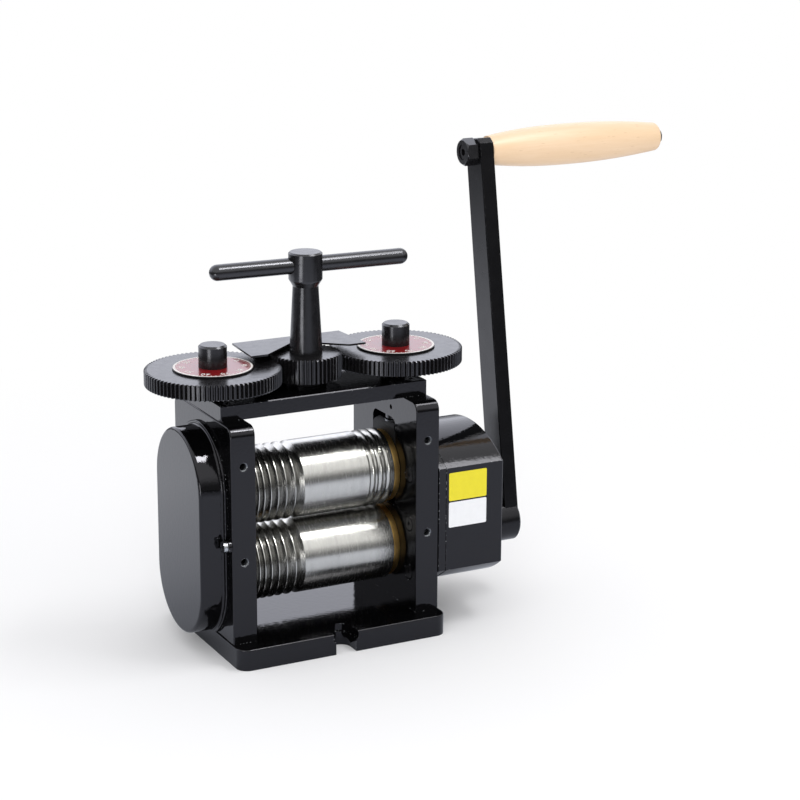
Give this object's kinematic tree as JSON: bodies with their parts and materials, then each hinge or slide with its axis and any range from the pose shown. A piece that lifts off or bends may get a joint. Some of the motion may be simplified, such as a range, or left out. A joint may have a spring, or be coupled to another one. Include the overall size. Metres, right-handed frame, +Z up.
{
  "type": "jewellers rolling mill",
  "caption": "Hand-cranked jeweller's rolling mill with grooved rollers, a geared reduction drive, a T-handle that sets both pressure screws through gears, and a long crank.",
  "frame": {"origin": "centre of the base plate's underside", "axes": "+X along the rollers towards the crank, +Y to the back, +Z up"},
  "size_m": [0.3068, 0.09, 0.24],
  "materials": {
    "enamel": "gloss",
    "enamel_cover": "gloss",
    "black_steel": "satin",
    "bright_steel": "polished",
    "grey_steel": "satin",
    "bronze": "satin",
    "dial_red": "gloss",
    "wood": "satin",
    "spring_steel": "satin"
  },
  "bodies": {
    "frame": {"base_plate": "enamel", "left_side_frame": "enamel", "right_side_frame": "enamel", "top_plate": "enamel", "column_bush": "black_steel", "base_screws": "black_steel", "top_plate_screws": "black_steel", "left_gear_cover": "enamel_cover", "cover_screws": "bright_steel", "gearbox_back_plate": "enamel_cover", "gearbox_cover": "enamel_cover", "gearbox_screws": "black_steel", "lower_left_bush": "bronze", "lower_right_bush": "bronze", "crank_shaft_bush": "bronze", "layshaft_bushes": "bronze", "pointer_plate": "black_steel", "pointer_screws": "black_steel", "return_springs": "spring_steel"},
    "upper_carriage": {"upper_left_chock": "black_steel", "upper_right_chock": "black_steel", "upper_left_bush": "bronze", "upper_right_bush": "bronze", "thrust_pads": "bright_steel"},
    "upper_roller_set": {"upper_roller": "bright_steel", "upper_roller_gear": "grey_steel", "upper_roller_gear_key": "grey_steel", "upper_roller_gear_ring": "black_steel"},
    "lower_roller_set": {"lower_roller": "bright_steel", "lower_roller_gear": "grey_steel", "lower_roller_gear_key": "grey_steel", "lower_roller_gear_ring": "black_steel", "output_gear": "grey_steel", "output_gear_key": "grey_steel", "output_gear_ring": "black_steel"},
    "layshaft_set": {"layshaft": "grey_steel", "layshaft_gear": "grey_steel", "layshaft_pinion": "grey_steel", "layshaft_keys": "grey_steel"},
    "crank": {"crank_pinion_shaft": "black_steel", "crank_arm": "black_steel", "crank_grub_screw": "black_steel", "handle_bolt": "black_steel", "handle_nut": "black_steel"},
    "grip": {"handle_grip": "wood"},
    "tee_handle": {"tee_column": "black_steel", "tee_bar": "black_steel", "centre_pinion": "black_steel", "pinion_key": "grey_steel", "column_ring": "black_steel"},
    "left_screw": {"left_pressure_screw": "black_steel", "left_screw_gear": "black_steel", "left_dial": "dial_red", "left_gear_key": "grey_steel"},
    "right_screw": {"right_pressure_screw": "black_steel", "right_screw_gear": "black_steel", "right_dial": "dial_red", "right_gear_key": "grey_steel"}
  },
  "joints": [
    {"name": "crank_spin", "type": "hinge", "parent": "frame", "child": "crank", "pos_m": [0.11, 0, 0.0389], "axis": [1, 0, 0], "continuous": true},
    {"name": "lower_roller_spin", "type": "hinge", "parent": "frame", "child": "lower_roller_set", "pos_m": [0, 0, 0.0389], "axis": [1, 0, 0], "continuous": true},
    {"name": "layshaft_spin", "type": "hinge", "parent": "frame", "child": "layshaft_set", "pos_m": [0.07, 0, 0.0704], "axis": [1, 0, 0], "continuous": true},
    {"name": "upper_lift", "type": "slide", "parent": "frame", "child": "upper_carriage", "axis": [0, 0, 1], "range_m": [-0.0009, 0.0026], "deforming": ["return_springs"]},
    {"name": "upper_roller_spin", "type": "hinge", "parent": "upper_carriage", "child": "upper_roller_set", "pos_m": [0, 0, 0.0787], "axis": [1, 0, 0], "continuous": true},
    {"name": "grip_spin", "type": "hinge", "parent": "crank", "child": "grip", "pos_m": [0.17, 0.03169, 0.22928], "axis": [1, 0, 0], "continuous": true},
    {"name": "tee_spin", "type": "hinge", "parent": "frame", "child": "tee_handle", "pos_m": [0, 0, 0.15], "axis": [0, 0, 1], "range_deg": [-905, 313.5]},
    {"name": "left_screw_spin", "type": "hinge", "parent": "upper_carriage", "child": "left_screw", "pos_m": [-0.0496, 0, 0.12], "axis": [0, 0, 1], "range_deg": [-162.1, 468.1]},
    {"name": "right_screw_spin", "type": "hinge", "parent": "upper_carriage", "child": "right_screw", "pos_m": [0.0496, 0, 0.12], "axis": [0, 0, 1], "range_deg": [-162.1, 468.1]}
  ],
  "couplings": [
    {"joint": "lower_roller_spin", "follows": "crank_spin", "ratio": 0.4},
    {"joint": "layshaft_spin", "follows": "crank_spin", "ratio": -0.4},
    {"joint": "upper_roller_spin", "follows": "crank_spin", "ratio": -0.4},
    {"joint": "tee_spin", "follows": "upper_lift", "rad_per_m": -6073.7},
    {"joint": "left_screw_spin", "follows": "upper_lift", "rad_per_m": 3141.6},
    {"joint": "right_screw_spin", "follows": "upper_lift", "rad_per_m": 3141.6}
  ]
}
